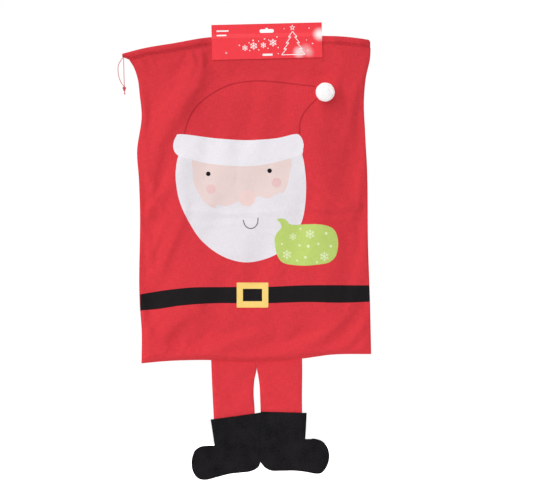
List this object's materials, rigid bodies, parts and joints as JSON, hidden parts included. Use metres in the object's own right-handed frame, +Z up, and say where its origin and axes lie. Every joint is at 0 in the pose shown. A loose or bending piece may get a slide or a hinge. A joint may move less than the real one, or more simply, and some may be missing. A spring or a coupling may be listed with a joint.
{
  "type": "fabric gift sack",
  "caption": "Flat cloth gift sack with a hemmed drawstring mouth, dangling legs with felt boots, a sewn pom-pom and a folded hang card.",
  "frame": {"origin": "middle of the header card's hang slot, from which the whole sack hangs", "axes": "+Z up, +X to the viewer's right, -Y towards the viewer of the printed front"},
  "size_m": [0.5487, 0.0719, 0.9961],
  "materials": {
    "sack_cloth": "soft brushed plain-weave cloth, matt, printed",
    "printed_card": "coated printed card, satin",
    "clear_pin": "clear nylon",
    "white_yarn": "fluffy cut yarn",
    "drawstring_cord": "thin twisted cord",
    "boot_felt": "matt dark felt"
  },
  "bodies": {
    "root": {"front_panel_top": "sack_cloth", "front_panel": "sack_cloth", "back_panel_top": "sack_cloth", "back_panel": "sack_cloth", "front_hem": "sack_cloth", "back_hem": "sack_cloth", "left_side_seam": "sack_cloth", "right_side_seam": "sack_cloth", "bottom_seam": "sack_cloth", "header_card": "printed_card", "left_card_pin": "clear_pin", "right_card_pin": "clear_pin", "pom_pom": "white_yarn", "drawstring_in_hem": "drawstring_cord"},
    "drawstring": {"drawstring_front_strand": "drawstring_cord", "drawstring_back_strand": "drawstring_cord"},
    "cord_loop": {"cord_front_run": "drawstring_cord", "cord_back_run": "drawstring_cord", "cord_knot": "drawstring_cord", "cord_front_tail": "drawstring_cord", "cord_back_tail": "drawstring_cord"},
    "left_leg": {"left_leg": "sack_cloth"},
    "right_leg": {"right_leg": "sack_cloth"},
    "left_boot": {"left_boot_front": "boot_felt", "left_boot_back": "boot_felt"},
    "right_boot": {"right_boot_front": "boot_felt", "right_boot_back": "boot_felt"}
  },
  "joints": [
    {"name": "drawstring_pull", "type": "slide", "parent": "root", "child": "drawstring", "axis": [-0.9887, 0, -0.1501], "range_m": [0, 0.15]},
    {"name": "loop_swing", "type": "hinge", "parent": "drawstring", "child": "cord_loop", "pos_m": [-0.3116, 0, -0.05492], "axis": [0, 1, 0], "range_deg": [-8, 90]},
    {"name": "left_leg_swing", "type": "hinge", "parent": "root", "child": "left_leg", "pos_m": [-0.071, 0, -0.7192], "axis": [1, 0, 0], "range_deg": [-120, 120]},
    {"name": "right_leg_swing", "type": "hinge", "parent": "root", "child": "right_leg", "pos_m": [0.03, 0, -0.7192], "axis": [1, 0, 0], "range_deg": [-120, 120]},
    {"name": "left_boot_swing", "type": "hinge", "parent": "left_leg", "child": "left_boot", "pos_m": [-0.0629, 0, -0.8412], "axis": [1, 0, 0], "range_deg": [-75, 75]},
    {"name": "right_boot_swing", "type": "hinge", "parent": "right_leg", "child": "right_boot", "pos_m": [0.0361, 0, -0.8302], "axis": [1, 0, 0], "range_deg": [-75, 75]}
  ]
}
